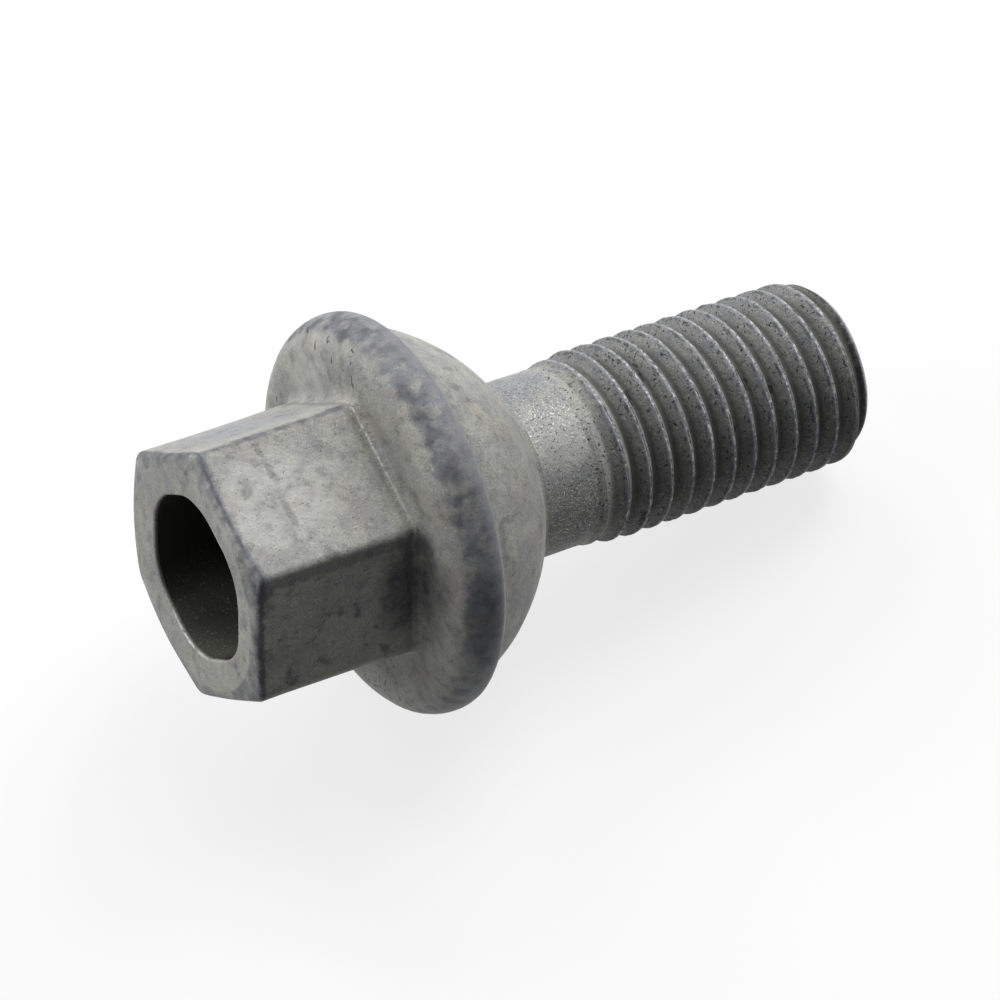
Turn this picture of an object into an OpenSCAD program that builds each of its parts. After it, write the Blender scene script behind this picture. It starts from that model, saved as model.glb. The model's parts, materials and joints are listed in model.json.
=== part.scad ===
/* [Hexagon head] */
// Width of the hexagon across its flats
hex_af = 14.8; // [13:0.1:17]
// Height of the hexagon from the flange's face to its end face
hex_height = 10.88; // [8:0.02:14]
// Radius that rounds the hexagon's long corners
hex_corner_round = 1; // [0.3:0.1:1.5]
// Radius of the end face's flat circle, inside the bevelled corners
end_face_r = 6.9; // [6.6:0.05:8.2]
// Angle by which the bevel at the end face falls away towards the corners
end_bevel_angle = 14; // [12.5:0.5:30]
// Radius of the blend between the hexagon and the flange's face
hex_blend_r = 0.8; // [0.4:0.05:1]

/* [Hollow in the head] */
// Width of the hollow across its flats
hollow_af = 9.7; // [7:0.1:11]
// Radius of the hollow's six corners
hollow_corner_r = 2.9; // [0.5:0.1:3.3]
// Depth of the hollow from the end face
hollow_depth = 9; // [5:0.5:12]

/* [Flange] */
// Largest diameter of the flange
flange_d = 24.5; // [22:0.1:28]
// Width of the flange's rim, from its face to its back edge
flange_width = 3.1; // [2.6:0.05:4]
// Radius that rounds the rim towards the head
rim_front_r = 2; // [1:0.05:2.2]
// Radius that rounds the rim towards the ball seat
rim_back_r = 0.85; // [0.3:0.05:1]

/* [Ball seat] */
// Radius of the ball seat
seat_r = 12; // [11:0.1:13]
// How far the ball's centre lies in front of the flange's face, towards the head
seat_centre_setback = 1; // [0.2:0.05:2]
// Radius of the blend between the ball seat and the shank
neck_blend_r = 0.5; // [0.2:0.05:1.2]

/* [Shank and thread] */
// Diameter of the plain shank
shank_d = 10.95; // [10:0.05:11.3]
// Outer diameter of the thread, over its crests
thread_d = 11.85; // [11.6:0.05:12]
// Distance from the flange's face to the end of the bolt
reach = 33.2; // [26:0.1:45]
// Length of the threaded end, from the run-out's start to the tip
threaded_length = 19.3; // [12:0.1:20]
// Length over which the thread runs out into the shank
run_out = 2.1; // [0.8:0.1:3]
// Length of the chamfer at the tip
tip_chamfer_length = 1.5; // [0.6:0.1:2.5]
// Diameter of the flat end of the tip
tip_d = 9.9; // [8:0.1:11]

/* [Placing] */
// Angle by which the hexagon is turned about the bolt's own axis as it lies
roll = 42.2; // [0:0.1:60]

/* [Hidden] */
$fn = 96;

// Reach past a face that a boolean cuts or joins
past = 0.5;
// How far a rounding arc crosses the faces that it joins, so that they meet in a clean edge
bite = 0.004;

// Places along the bolt's own axis: 0 is the ball's centre, and the tip is at the high end
flange_face = seat_centre_setback;
end_face = flange_face - hex_height;
flange_back = flange_face + flange_width;
rim_front = flange_face + rim_front_r;
rim_back = flange_back - rim_back_r;
tip = flange_face + reach;
thread_end = tip - tip_chamfer_length;
run_out_start = tip - threaded_length;
thread_start = run_out_start + run_out;

flange_r = flange_d / 2;
shank_r = shank_d / 2;
thread_r = thread_d / 2;
tip_r = tip_d / 2;
hex_corner_reach = hex_af / 2 / cos(30);

// The neck's blend touches the ball and the shank
neck_blend_x = shank_r + neck_blend_r;
neck_blend_y = sqrt(pow(seat_r + neck_blend_r, 2) - pow(neck_blend_x, 2));

// The bolt lies on its rim's back edge and on the thread's last crest
rim_arc_r = flange_r - rim_back_r;
rest_span = norm([thread_end - rim_back, rim_arc_r - thread_r]);
rest_tilt = atan2(rim_arc_r - thread_r, thread_end - rim_back) + asin(rim_back_r / rest_span);
axis_height = rim_back * sin(rest_tilt) + rim_arc_r * cos(rest_tilt) + rim_back_r;
// The end face's lower edge is the rearmost point, and the tip's upper edge the foremost
rear = -end_face * cos(rest_tilt) + end_face_r * sin(rest_tilt);
front = tip * cos(rest_tilt) + tip_r * sin(rest_tilt);

// A hexagon with round corners, from its width across flats and its corner radius
module round_hexagon(af, corner_r) {
    centre_r = (af / 2 - corner_r + bite) / cos(30);
    intersection() {
        circle(d = af / cos(30), $fn = 6);
        union() {
            polygon([
                for (corner = [0 : 5], side = [-30, 30])
                    centre_r * [cos(60 * corner), sin(60 * corner)]
                    + corner_r * [cos(60 * corner + side), sin(60 * corner + side)]
            ]);
            for (corner = [0 : 5])
                rotate(60 * corner)
                    translate([centre_r, 0])
                        circle(r = corner_r);
        }
    }
}

// The half section of the flange's rim, round on both edges
module flange_section() {
    front_arc_r = flange_r - rim_front_r;
    translate([0, flange_face])
        square([front_arc_r, flange_width]);
    intersection() {
        translate([front_arc_r, rim_front])
            circle(r = rim_front_r);
        translate([0, flange_face])
            square([flange_r, rim_front_r]);
    }
    translate([0, rim_front])
        square([flange_r, rim_back - rim_front]);
    translate([0, rim_front])
        square([rim_arc_r, flange_back - rim_front]);
    translate([rim_arc_r, rim_back])
        circle(r = rim_back_r);
}

// The half section of the ball seat, cut off at the neck
module seat_section() {
    intersection() {
        circle(r = seat_r);
        translate([0, rim_front])
            square([seat_r, neck_blend_y - rim_front]);
    }
}

// The half section of the hollow blend where the ball seat meets the shank
module neck_section() {
    touch = seat_r / (seat_r + neck_blend_r) * [neck_blend_x, neck_blend_y];
    difference() {
        polygon([
            [0, touch.y],
            touch,
            [neck_blend_x, neck_blend_y],
            [0, neck_blend_y]
        ]);
        translate([neck_blend_x, neck_blend_y])
            circle(r = neck_blend_r + bite);
    }
}

// The half section of the shank, the run-out, the thread over its crests and the chamfered tip
module shank_section() {
    polygon([
        [0, rim_front],
        [shank_r, rim_front],
        [shank_r, run_out_start],
        [thread_r, thread_start],
        [thread_r, thread_end],
        [tip_r, tip],
        [0, tip]
    ]);
}

// Everything that is turned about the bolt's axis
module turned_body() {
    rotate_extrude() {
        flange_section();
        seat_section();
        neck_section();
        shank_section();
    }
}

// The hexagon, with its corners bevelled at the end face
module hexagon() {
    bevel_r = hex_corner_reach + past;
    intersection() {
        translate([0, 0, end_face])
            linear_extrude(height = hex_height + past)
                round_hexagon(hex_af, hex_corner_round);
        rotate_extrude()
            polygon([
                [0, end_face],
                [end_face_r, end_face],
                [bevel_r, end_face + (bevel_r - end_face_r) * tan(end_bevel_angle)],
                [bevel_r, flange_face + 2 * past],
                [0, flange_face + 2 * past]
            ]);
    }
}

// The blend's section: x from the hexagon's side outwards, y from the flange's face to the head
module blend_section() {
    root = hex_corner_round / 2;
    difference() {
        translate([-root, -root])
            square(hex_blend_r + root);
        translate([hex_blend_r, hex_blend_r])
            circle(r = hex_blend_r + bite);
    }
}

// The hollow blend along the six sides and round the six corners of the hexagon
module hexagon_blend() {
    centre_r = (hex_af / 2 - hex_corner_round) / cos(30);
    side = (hex_af - 2 * hex_corner_round) * tan(30);
    for (corner = [0 : 5]) {
        translate([0, 0, flange_face])
            rotate(60 * corner + 30)
                translate([hex_af / 2, side / 2, 0])
                    rotate([90, 0, 0])
                        linear_extrude(height = side)
                            mirror([0, 1])
                                blend_section();
        translate([0, 0, flange_face])
            rotate(60 * corner)
                translate([centre_r, 0, 0])
                    rotate(-30)
                        rotate_extrude(angle = 60)
                            translate([hex_corner_round, 0])
                                mirror([0, 1])
                                    blend_section();
    }
}

// The blind hollow in the end face
module hollow() {
    translate([0, 0, end_face - past])
        linear_extrude(height = hollow_depth + past)
            round_hexagon(hollow_af, hollow_corner_r);
}

// The forged bolt, lying with its tip towards +X
module wheel_bolt() {
    color("darkgray")
        translate([(rear - front) / 2, 0, axis_height])
            rotate([0, 90 + rest_tilt, 0])
                difference() {
                    union() {
                        turned_body();
                        rotate(roll) {
                            hexagon();
                            hexagon_blend();
                        }
                    }
                    rotate(roll)
                        hollow();
                }
}

wheel_bolt();
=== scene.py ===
import json
import math
import bpy
import numpy as np
from mathutils import Matrix, Vector, noise


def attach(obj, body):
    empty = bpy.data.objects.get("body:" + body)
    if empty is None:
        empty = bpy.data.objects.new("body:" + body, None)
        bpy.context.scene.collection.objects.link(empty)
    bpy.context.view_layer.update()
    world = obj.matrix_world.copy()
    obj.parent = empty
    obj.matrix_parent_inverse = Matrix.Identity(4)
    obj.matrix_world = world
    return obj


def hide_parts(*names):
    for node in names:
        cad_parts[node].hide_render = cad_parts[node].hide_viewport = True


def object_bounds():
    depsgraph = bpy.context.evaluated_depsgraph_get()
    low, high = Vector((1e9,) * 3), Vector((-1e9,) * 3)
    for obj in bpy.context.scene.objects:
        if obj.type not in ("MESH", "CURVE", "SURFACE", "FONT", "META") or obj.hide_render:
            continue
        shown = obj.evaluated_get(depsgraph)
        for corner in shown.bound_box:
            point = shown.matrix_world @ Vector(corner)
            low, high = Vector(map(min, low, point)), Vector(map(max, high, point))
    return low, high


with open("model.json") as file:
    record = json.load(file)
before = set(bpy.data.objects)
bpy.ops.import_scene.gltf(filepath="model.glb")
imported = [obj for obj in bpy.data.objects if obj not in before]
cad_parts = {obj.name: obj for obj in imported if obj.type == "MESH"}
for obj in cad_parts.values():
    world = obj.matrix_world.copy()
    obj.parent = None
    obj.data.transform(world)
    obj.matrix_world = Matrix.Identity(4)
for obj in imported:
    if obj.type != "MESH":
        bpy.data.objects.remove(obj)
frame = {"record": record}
cad_low, cad_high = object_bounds()

# Lengths are in millimetres and angles in degrees, unless a name says otherwise
MM = 0.001

# Places along the bolt's own axis: 0 is the ball seat's centre, and the tip is at the high end
END_FACE = -9.88
FLANGE_FACE = 1.0
FLANGE_BACK = 4.1
RUN_OUT_START = 14.4
THREAD_START = 17.3
TIP = 34.2

# The hexagon and the hollow in it
HEX_APOTHEM = 7.4
# The radii of its six corners
HEX_CORNERS = (1.0, 1.0, 0.9, 0.55, 1.0, 1.0)
HEX_ROLL = 42.2
END_FLAT_R = 6.9
END_BEVEL = 14
BEVEL_SOFTNESS = 0.06
END_EDGE_R = 0.25
HOLLOW_APOTHEM = 4.95
HOLLOW_CORNER_R = 3.7
HOLLOW_DEPTH = 9
HOLLOW_FLOOR_R = 0.6
MOUTH_EDGE_R = 0.15
# The hollow was struck a little off the axis; the end face follows it less and less, up to this radius
HOLLOW_SHIFT = (-0.36, -0.29)
HOLLOW_SHIFT_END = 6.7
HOLLOW_SHIFT_FADE = 1.2

# The sides flare a little towards the foot
FLARE = 0.1
FLARE_LENGTH = 5.5
FLARE_CURVE = 1.3

# The foot of the hexagon, up to its blend: offset from the side, and place from the flange's face
FOOT_STEP = (
    (0.1, -1.15), (0.09, -0.95), (0.07, -0.75), (0.1, -0.62), (0.17, -0.53), (0.2, -0.49), (0.22, -0.43),
)
# How much painted shade and how much polish and painted highlight the step's rows get, after its first
FOOT_SHADE_AND_HIGHLIGHT = ((0.4, 0), (0.8, 0), (0.7, 0), (0.3, 0.2), (0, 1), (0.1, 0.3))
# How wide and how high the blend is
FOOT_BLEND = (0.68, 0.43)

# The flange's rim, the ball seat and the neck
RIM_FRONT_R = 2.0
RIM_BACK_R = 0.85
BALL_R = 12.0
CREASE_R = 0.12
NECK_R = 0.5
SHANK_R = 5.475
# The centre of the neck's blend: from the axis, and along it
NECK_X = SHANK_R + NECK_R
NECK_AT = math.sqrt((BALL_R + NECK_R) ** 2 - NECK_X ** 2)

# The rolled thread; its flanks' angle is the one to a plane across the axis
PITCH = 1.5
FLANK_ANGLE = 30
CREST_R = 5.9
ROOT_R = 5.0
CREST_HALF = 0.13
CREST_SOFTNESS = 0.06
ROOT_SOFTNESS = 0.16
CREST_AT = 0.287
# A seam runs along the crests
SEAM_AT = 0.06
SEAM_HALF = 0.035
SEAM_DEPTH = 0.06
# The chamfer at the tip starts gently and then falls away: places along the axis and their radii
TAPER = ((31.6, 5.9), (33.15, 5.8), (34.2, 5.03))
TAPER_SOFTNESS = 0.03
TIP_EDGE_R = 0.15

# The crests and the whole forged surface are wavy: the size of the lumps and their height
CREST_WAVES = ((1.3, 0.035), (0.4, 0.035))
CREST_WAVE_WIDTH = 0.3
FORGED_WAVES = ((2.6, 0.022), (0.7, 0.007))
# Fixes the noise that the forged surface takes its waviness from, so that it is the same each time
FORGED_SEED = 5

# The camera, as the photograph was taken
VIEW_AZIMUTH = -29.745
VIEW_ELEVATION = 56.3285
VIEW_DISTANCE = 271.67
AIM_RIGHT = 9.301
AIM_UP = 1.670
LENS = 167.54
SENSOR = 36

# The columns run round the axis; this share is evenly spread, and the rest crowds at the hexagon's corners
COLUMNS = 240
EVEN_SHARE = 0.34
CROWDING = 2.2
# The plain shank's rows are this far apart, and helical rows nearer than SNAP to a flat ring end on it
SHANK_ROW_GAP = 0.35
SNAP = 0.03

# Where round the bolt the foot's step is full, and how far to each side it reaches; elsewhere it is slight
FOOT_STEP_AT = 180
FOOT_STEP_WIDTH = 45
FOOT_STEP_LEAST = 0.3
# The same for the painted highlights on the hollow's lip and on the rim's back edge
LIP_SHINE_AT = 350
LIP_SHINE_WIDTH = 35
RIM_LINE_AT = 260
RIM_LINE_WIDTH = 25
# How rubbed the hexagon's six corners are, and the width of the rubbed line
CORNER_RUB = (0.5, 0.5, 0.9, 0.1, 0.5, 0.5)
CORNER_RUB_WIDTH = 0.3
# How rubbed the rim is, and the bends of its front edge, in degrees, between which that begins
RIM_RUB = 0.85
RIM_RUB_START = 26
RIM_RUB_FULL = 52
# The bends of the rim's back edge where its rows lie, where its rubbed band ends and its painted highlight
# line lies, and where its painted shade starts
RIM_BACK_BENDS = (0, 12, 24, 30, 34, 38, 48, 60, 72, 84)
RIM_BAND_END = 34
RIM_PAINTED_SHADE_START = 60

# The finishes, in the order of the mesh's material slots
HOLLOW, HEAD, SHANK, THREAD = range(4)

mounts = {mount["name"]: mount for mount in frame["record"]["mounts"]}
ball_centre = Vector(mounts["ball_seat"]["pos_m"])
bolt_axis = Vector(mounts["ball_seat"]["axis"]).normalized()
flange_r = (cad_high.y - cad_low.y) / 2 / MM


def sin(degrees):
    return np.sin(np.radians(degrees))


def cos(degrees):
    return np.cos(np.radians(degrees))


def tan(degrees):
    return np.tan(np.radians(degrees))


def bolt_placement():
    """The matrix from the bolt's own millimetres to the frame's metres."""
    across = Vector((0, 1, 0))
    down = across.cross(bolt_axis)
    turn = Matrix((down, across, bolt_axis)).transposed().to_4x4()
    return Matrix.Translation(ball_centre) @ turn @ Matrix.Scale(MM, 4)


def soft_ramp(x, width):
    """0 below zero and x above it, with a round bend of about that width."""
    return (x + np.sqrt(x * x + width * width)) / 2


def smooth_step(x):
    """0 up to zero and 1 from one on, with a smooth rise between them."""
    x = np.clip(x, 0, 1)
    return x * x * (3 - 2 * x)


def hump(x, width):
    """1 at zero, fading to nothing about twice the width away from it."""
    return np.exp(-((x / width) ** 2))


def view_axes():
    """The camera's right, up and forward directions."""
    right = Vector((cos(VIEW_AZIMUTH), sin(VIEW_AZIMUTH), 0))
    forward = Vector((
        -sin(VIEW_AZIMUTH) * cos(VIEW_ELEVATION),
        cos(VIEW_AZIMUTH) * cos(VIEW_ELEVATION),
        -sin(VIEW_ELEVATION),
    ))
    return right, right.cross(forward), forward


def add_object(name, data):
    thing = bpy.data.objects.new(name, data)
    bpy.context.scene.collection.objects.link(thing)
    return thing


def add_camera():
    right, up, forward = view_axes()
    data = bpy.data.cameras.new("view")
    data.lens = LENS
    data.sensor_width = SENSOR
    data.clip_start = 0.01
    data.clip_end = 10
    camera = add_object("view", data)
    aim = ball_centre + (AIM_RIGHT * right + AIM_UP * up) * MM
    turn = Matrix((right, up, -forward)).transposed().to_4x4()
    camera.matrix_world = Matrix.Translation(aim - forward * VIEW_DISTANCE * MM) @ turn
    bpy.context.scene.camera = camera


add_camera()


def past_corner(share):
    """The angle from a corner of the hexagon, at a share of the columns up to its side's middle."""
    return 30 * (EVEN_SHARE * share + (1 - EVEN_SHARE) * share ** CROWDING)


def column_angles():
    """The columns' angles: six sectors, each from one corner of the hexagon to the next."""
    half = COLUMNS // 12
    share = np.arange(half) / half
    sector = np.concatenate([past_corner(share), 60 - past_corner(1 - share)])
    return np.concatenate([HEX_ROLL + 60 * corner + sector for corner in range(6)]) % 360


# Each column's angle, the nearest corner of the hexagon, the angle from it and its radius
angles = np.sort(column_angles())
nearest_corner = np.round((angles - HEX_ROLL) / 60).astype(int) % 6
corner_swing = np.abs((angles - HEX_ROLL + 30) % 60 - 30)
hex_corner_r = np.array(HEX_CORNERS)[nearest_corner]


def round_hexagon(apothem, corner_r, offset=0.0):
    """The radius in each column of a hexagon with round corners, offset outwards."""
    reach = (apothem - corner_r) / cos(30)
    grown = corner_r + offset
    arc_end = np.degrees(np.arctan2(grown * sin(30), reach + grown * cos(30)))
    beside = reach * sin(corner_swing)
    on_arc = reach * cos(corner_swing) + np.sqrt(np.maximum(grown ** 2 - beside ** 2, 0))
    return np.where(corner_swing < arc_end, on_arc, (apothem + offset) / cos(30 - corner_swing))


def row(radius, along, rubbed=0.0, painted_shade=0.0, polish_and_highlight=0.0):
    """One row of the skin: in each column its radius, its place along the axis, how rubbed it is, and its
    painted shade and its polish with painted highlight.
    """
    values = (radius, along, rubbed, painted_shade, polish_and_highlight)
    return [np.broadcast_to(value, COLUMNS).astype(float) for value in values]


def end_face_at(radius):
    """Where the end face lies at a radius, with its corners bevelled."""
    return END_FACE + soft_ramp(radius - END_FLAT_R, BEVEL_SOFTNESS) * tan(END_BEVEL)


def facing(middle, width):
    """1 in the columns near an angle, fading to nothing about twice the width away from it."""
    return hump((angles - middle + 180) % 360 - 180, width)


def corner_rub(radius):
    """How rubbed the hexagon's sides are: most on the corner lines, and not at all beside them."""
    return np.array(CORNER_RUB)[nearest_corner] * hump(radius * sin(corner_swing), CORNER_RUB_WIDTH)


def hollow_rows():
    """The hollow in the head, from its floor to its mouth."""
    floor = END_FACE + HOLLOW_DEPTH
    rows = []
    inner = round_hexagon(HOLLOW_APOTHEM, HOLLOW_CORNER_R, -HOLLOW_FLOOR_R)
    for share in (0.15, 0.35, 0.55, 0.75, 0.9):
        rows.append(row(inner * share, floor, painted_shade=1))
    for bend in np.linspace(0, 90, 6):
        offset = HOLLOW_FLOOR_R * (sin(bend) - 1)
        outline = round_hexagon(HOLLOW_APOTHEM, HOLLOW_CORNER_R, offset)
        rows.append(row(outline, floor - HOLLOW_FLOOR_R * (1 - cos(bend)), painted_shade=1))
    wall = round_hexagon(HOLLOW_APOTHEM, HOLLOW_CORNER_R)
    mouth = END_FACE + MOUTH_EDGE_R
    for along in np.linspace(floor - HOLLOW_FLOOR_R, mouth, 9)[1:-1]:
        rows.append(row(wall, along, painted_shade=1))
    rows.append(row(wall, mouth + 0.1, painted_shade=1))
    return rows


def mouth_rows():
    """The round edge of the hollow's mouth, with polish and a painted highlight on one side."""
    rows = []
    lip = facing(LIP_SHINE_AT, LIP_SHINE_WIDTH)
    for bend in np.linspace(0, 90, 6):
        outline = round_hexagon(HOLLOW_APOTHEM, HOLLOW_CORNER_R, MOUTH_EDGE_R * (1 - cos(bend)))
        along = END_FACE + MOUTH_EDGE_R * (1 - sin(bend))
        rows.append(row(outline, along, polish_and_highlight=lip * sin(2 * bend)))
    return rows


def end_rows():
    """The end face with its bevel, and the edge that rounds it into the hexagon's sides."""
    rows = []
    mouth = round_hexagon(HOLLOW_APOTHEM, HOLLOW_CORNER_R, MOUTH_EDGE_R)
    edge = round_hexagon(HEX_APOTHEM, hex_corner_r, -END_EDGE_R)
    flat, bevelled = END_FLAT_R - 0.1, END_FLAT_R + 0.1
    for share in np.linspace(0, 1, 6)[1:]:
        rows.append(row(mouth + (flat - mouth) * share, END_FACE))
    for step, rubbed in ((-0.04, 0.2), (0, 0.35), (0.04, 0.45), (0.1, 0.5)):
        radius = END_FLAT_R + step
        rows.append(row(radius, end_face_at(radius), rubbed))
    for share in np.linspace(0, 1, 4)[1:]:
        radius = bevelled + (edge - bevelled) * share
        rows.append(row(radius, end_face_at(radius), rubbed=0.5 + 0.2 * share))
    drop = end_face_at(round_hexagon(HEX_APOTHEM, hex_corner_r))
    for bend in np.linspace(0, 90, 7)[1:]:
        outline = round_hexagon(HEX_APOTHEM, hex_corner_r, END_EDGE_R * (sin(bend) - 1))
        start = end_face_at(outline) * cos(bend) ** 2 + drop * sin(bend) ** 2
        rows.append(row(outline, start + END_EDGE_R * (1 - cos(bend)), rubbed=0.7 + 0.3 * sin(bend)))
    return rows


def side_rows():
    """The hexagon's sides, and the step and the blend at their foot."""
    rows = []
    side = round_hexagon(HEX_APOTHEM, hex_corner_r)
    top = end_face_at(side) + END_EDGE_R
    foot = FLANGE_FACE + FOOT_STEP[0][1]
    rub = corner_rub(side)
    step = FOOT_STEP_LEAST + (1 - FOOT_STEP_LEAST) * facing(FOOT_STEP_AT, FOOT_STEP_WIDTH)
    edge_share = 0.04
    for share in (0.015, edge_share, *np.linspace(0, 1, 17)[1:]):
        along = top + (foot - top) * share
        flare = FLARE * np.clip(1 - (foot - along) / FLARE_LENGTH, 0, 1) ** FLARE_CURVE
        outline = round_hexagon(HEX_APOTHEM, hex_corner_r, flare)
        rows.append(row(outline, along, np.maximum(rub, 1 - share / edge_share)))
    for (offset, before_face), (painted_shade, polish_and_highlight) in zip(FOOT_STEP[1:], FOOT_SHADE_AND_HIGHLIGHT):
        offset = FLARE + (offset - FLARE) * step
        outline = round_hexagon(HEX_APOTHEM, hex_corner_r, offset)
        rubbed = rub * (1 - painted_shade)
        rows.append(row(outline, FLANGE_FACE + before_face, rubbed, painted_shade, polish_and_highlight * step ** 2))
    offset, before_face = FOOT_STEP[-1]
    offset = FLARE + (offset - FLARE) * step
    reach = FOOT_STEP[-1][0] + FOOT_BLEND[0] - offset
    # The blend, with painted shade in it
    for bend in np.linspace(0, 90, 7)[1:]:
        outline = round_hexagon(HEX_APOTHEM, hex_corner_r, offset + reach * (1 - cos(bend)))
        along = FLANGE_FACE + before_face + FOOT_BLEND[1] * sin(bend)
        rows.append(row(outline, along, painted_shade=0.3 * sin(bend)))
    return rows


def flange_rows():
    """The flange's face, its rim and the ball seat, as far as the neck."""
    rows = []
    foot = round_hexagon(HEX_APOTHEM, hex_corner_r, FOOT_STEP[-1][0] + FOOT_BLEND[0])
    arc_r = flange_r - RIM_FRONT_R
    # The flange's face, with painted shade near the hexagon's foot
    for share in np.linspace(0, 1, 8)[1:]:
        painted_shade = 0.3 * (1 - share) ** 2
        rows.append(row(foot + (arc_r - foot) * share, FLANGE_FACE, painted_shade=painted_shade))
    for bend in np.linspace(0, 90, 12)[1:]:
        along = FLANGE_FACE + RIM_FRONT_R * (1 - cos(bend))
        rubbed = RIM_RUB * smooth_step((bend - RIM_RUB_START) / (RIM_RUB_FULL - RIM_RUB_START))
        rows.append(row(arc_r + RIM_FRONT_R * sin(bend), along, rubbed))
    # A painted highlight line along one side of the rim's back edge
    line = 0.7 * facing(RIM_LINE_AT, RIM_LINE_WIDTH)
    # The rim's back edge, with painted shade where it meets the ball seat
    for bend in RIM_BACK_BENDS:
        radius = flange_r - RIM_BACK_R * (1 - cos(bend))
        along = FLANGE_BACK - RIM_BACK_R * (1 - sin(bend))
        rubbed = RIM_RUB if bend < RIM_BAND_END else 0.3
        painted_shade = 0.4 * smooth_step((bend - RIM_PAINTED_SHADE_START) / (RIM_BACK_BENDS[-1] - RIM_PAINTED_SHADE_START))
        rows.append(row(radius, along, rubbed, painted_shade, line * (bend == RIM_BAND_END)))
    crease = math.degrees(math.asin((FLANGE_BACK + CREASE_R) / BALL_R))
    touch = math.degrees(math.atan2(NECK_AT, NECK_X))
    # The ball seat, with painted shade in its crease
    for share in np.linspace(0, 1, 20):
        rise = crease + (touch - crease) * share
        painted_shade = 0.5 * np.exp(-share / 0.04)
        rows.append(row(BALL_R * cos(rise), BALL_R * sin(rise), rubbed=0.18, painted_shade=painted_shade))
    # The neck's blend, with painted shade in it
    for bend in np.linspace(180 + touch, 180, 6)[1:]:
        rows.append(row(NECK_X + NECK_R * cos(bend), NECK_AT + NECK_R * sin(bend), painted_shade=0.35))
    return rows


def shank_rows():
    """The plain shank, from the neck to the thread's run-out."""
    places = np.arange(NECK_AT + SHANK_ROW_GAP, RUN_OUT_START - SHANK_ROW_GAP / 2, SHANK_ROW_GAP)
    return [row(SHANK_R, along) for along in (*places, RUN_OUT_START)]


def chamfer_r(along):
    """The radius that the chamfer leaves at a place along the axis."""
    places, radii = zip(*TAPER)
    slopes = np.diff(radii) / np.diff(places)
    gentle = radii[0] + slopes[0] * (along - places[0])
    steep = radii[1] + slopes[1] * (along - places[1])
    return np.minimum(gentle, steep)


def crest_offset(along):
    """How far a place along the axis lies past the nearest crest, in each column."""
    return (along - CREST_AT - PITCH * angles / 360 + PITCH / 2) % PITCH - PITCH / 2


def thread_profile(offset):
    """The thread's radius at a distance past the middle of its crest, without its seam."""
    fall = soft_ramp((np.abs(offset) - CREST_HALF) / tan(FLANK_ANGLE), CREST_SOFTNESS)
    return ROOT_R + soft_ramp(CREST_R - fall - ROOT_R, ROOT_SOFTNESS)


def unevenness(points, scale):
    """Smooth noise from about -1 to 1 at points in millimetres, with lumps of about that size."""
    values = [noise.noise(Vector(point) / scale) for point in points.reshape(-1, 3)]
    return np.array(values).reshape(points.shape[:-1])


def thread_radius(along, offset):
    """The thread's radius where it runs out into the shank, stands full and is chamfered."""
    place = np.stack([CREST_R * cos(angles) + 0 * along, CREST_R * sin(angles) + 0 * along, along], -1)
    seam = SEAM_DEPTH * np.clip(0.8 + 1.6 * unevenness(place, 0.9), 0, 1.6)
    full = thread_profile(offset) - seam * hump(offset - SEAM_AT, SEAM_HALF)
    for number, (size, height) in enumerate(CREST_WAVES):
        wave = height * unevenness(place + 50 * number, size)
        full = full + wave * hump(offset, CREST_WAVE_WIDTH)
    # In the run-out the crests rise out of the shank sooner than the roots sink into it
    run_in = np.clip((along - RUN_OUT_START) / (THREAD_START - RUN_OUT_START), 0, 1)
    rise = full - SHANK_R
    radius = SHANK_R + np.where(rise > 0, rise * run_in ** 0.8, rise * run_in ** 1.3)
    return radius - soft_ramp(radius - chamfer_r(along), TAPER_SOFTNESS)


def thread_rows(first, last):
    """Helical rows: their places along the axis and past the crest, and how many make a turn."""
    past = (0.03, 0.06, 0.09, 0.13, 0.18, 0.26, 0.38, 0.52, 0.66)
    before = (0.68, 0.56, 0.43, 0.31, 0.21, 0.14, 0.07)
    offsets = np.array([0, *past, PITCH / 2, *(PITCH - step for step in before)])
    per_turn = len(offsets)
    turn = math.floor((first - CREST_AT) / PITCH) - 1
    turns = math.ceil((last - first) / PITCH) + 2
    count = np.arange(turns * per_turn)
    start = CREST_AT + PITCH * (turn + count // per_turn) + offsets[count % per_turn]
    along = start[:, None] + PITCH * angles[None, :] / 360
    return along, crest_offset(along), per_turn


def tip_rows():
    """The tip's round edge and its flat end."""
    rows = []
    edge = float(chamfer_r(TIP)) - TIP_EDGE_R
    for bend in np.linspace(60, 90, 4)[1:]:
        rows.append(row(edge + TIP_EDGE_R * cos(bend), TIP - TIP_EDGE_R * (1 - sin(bend))))
    for share in (0.85, 0.65, 0.45, 0.25, 0.1):
        rows.append(row(edge * share, TIP))
    return rows


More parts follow.
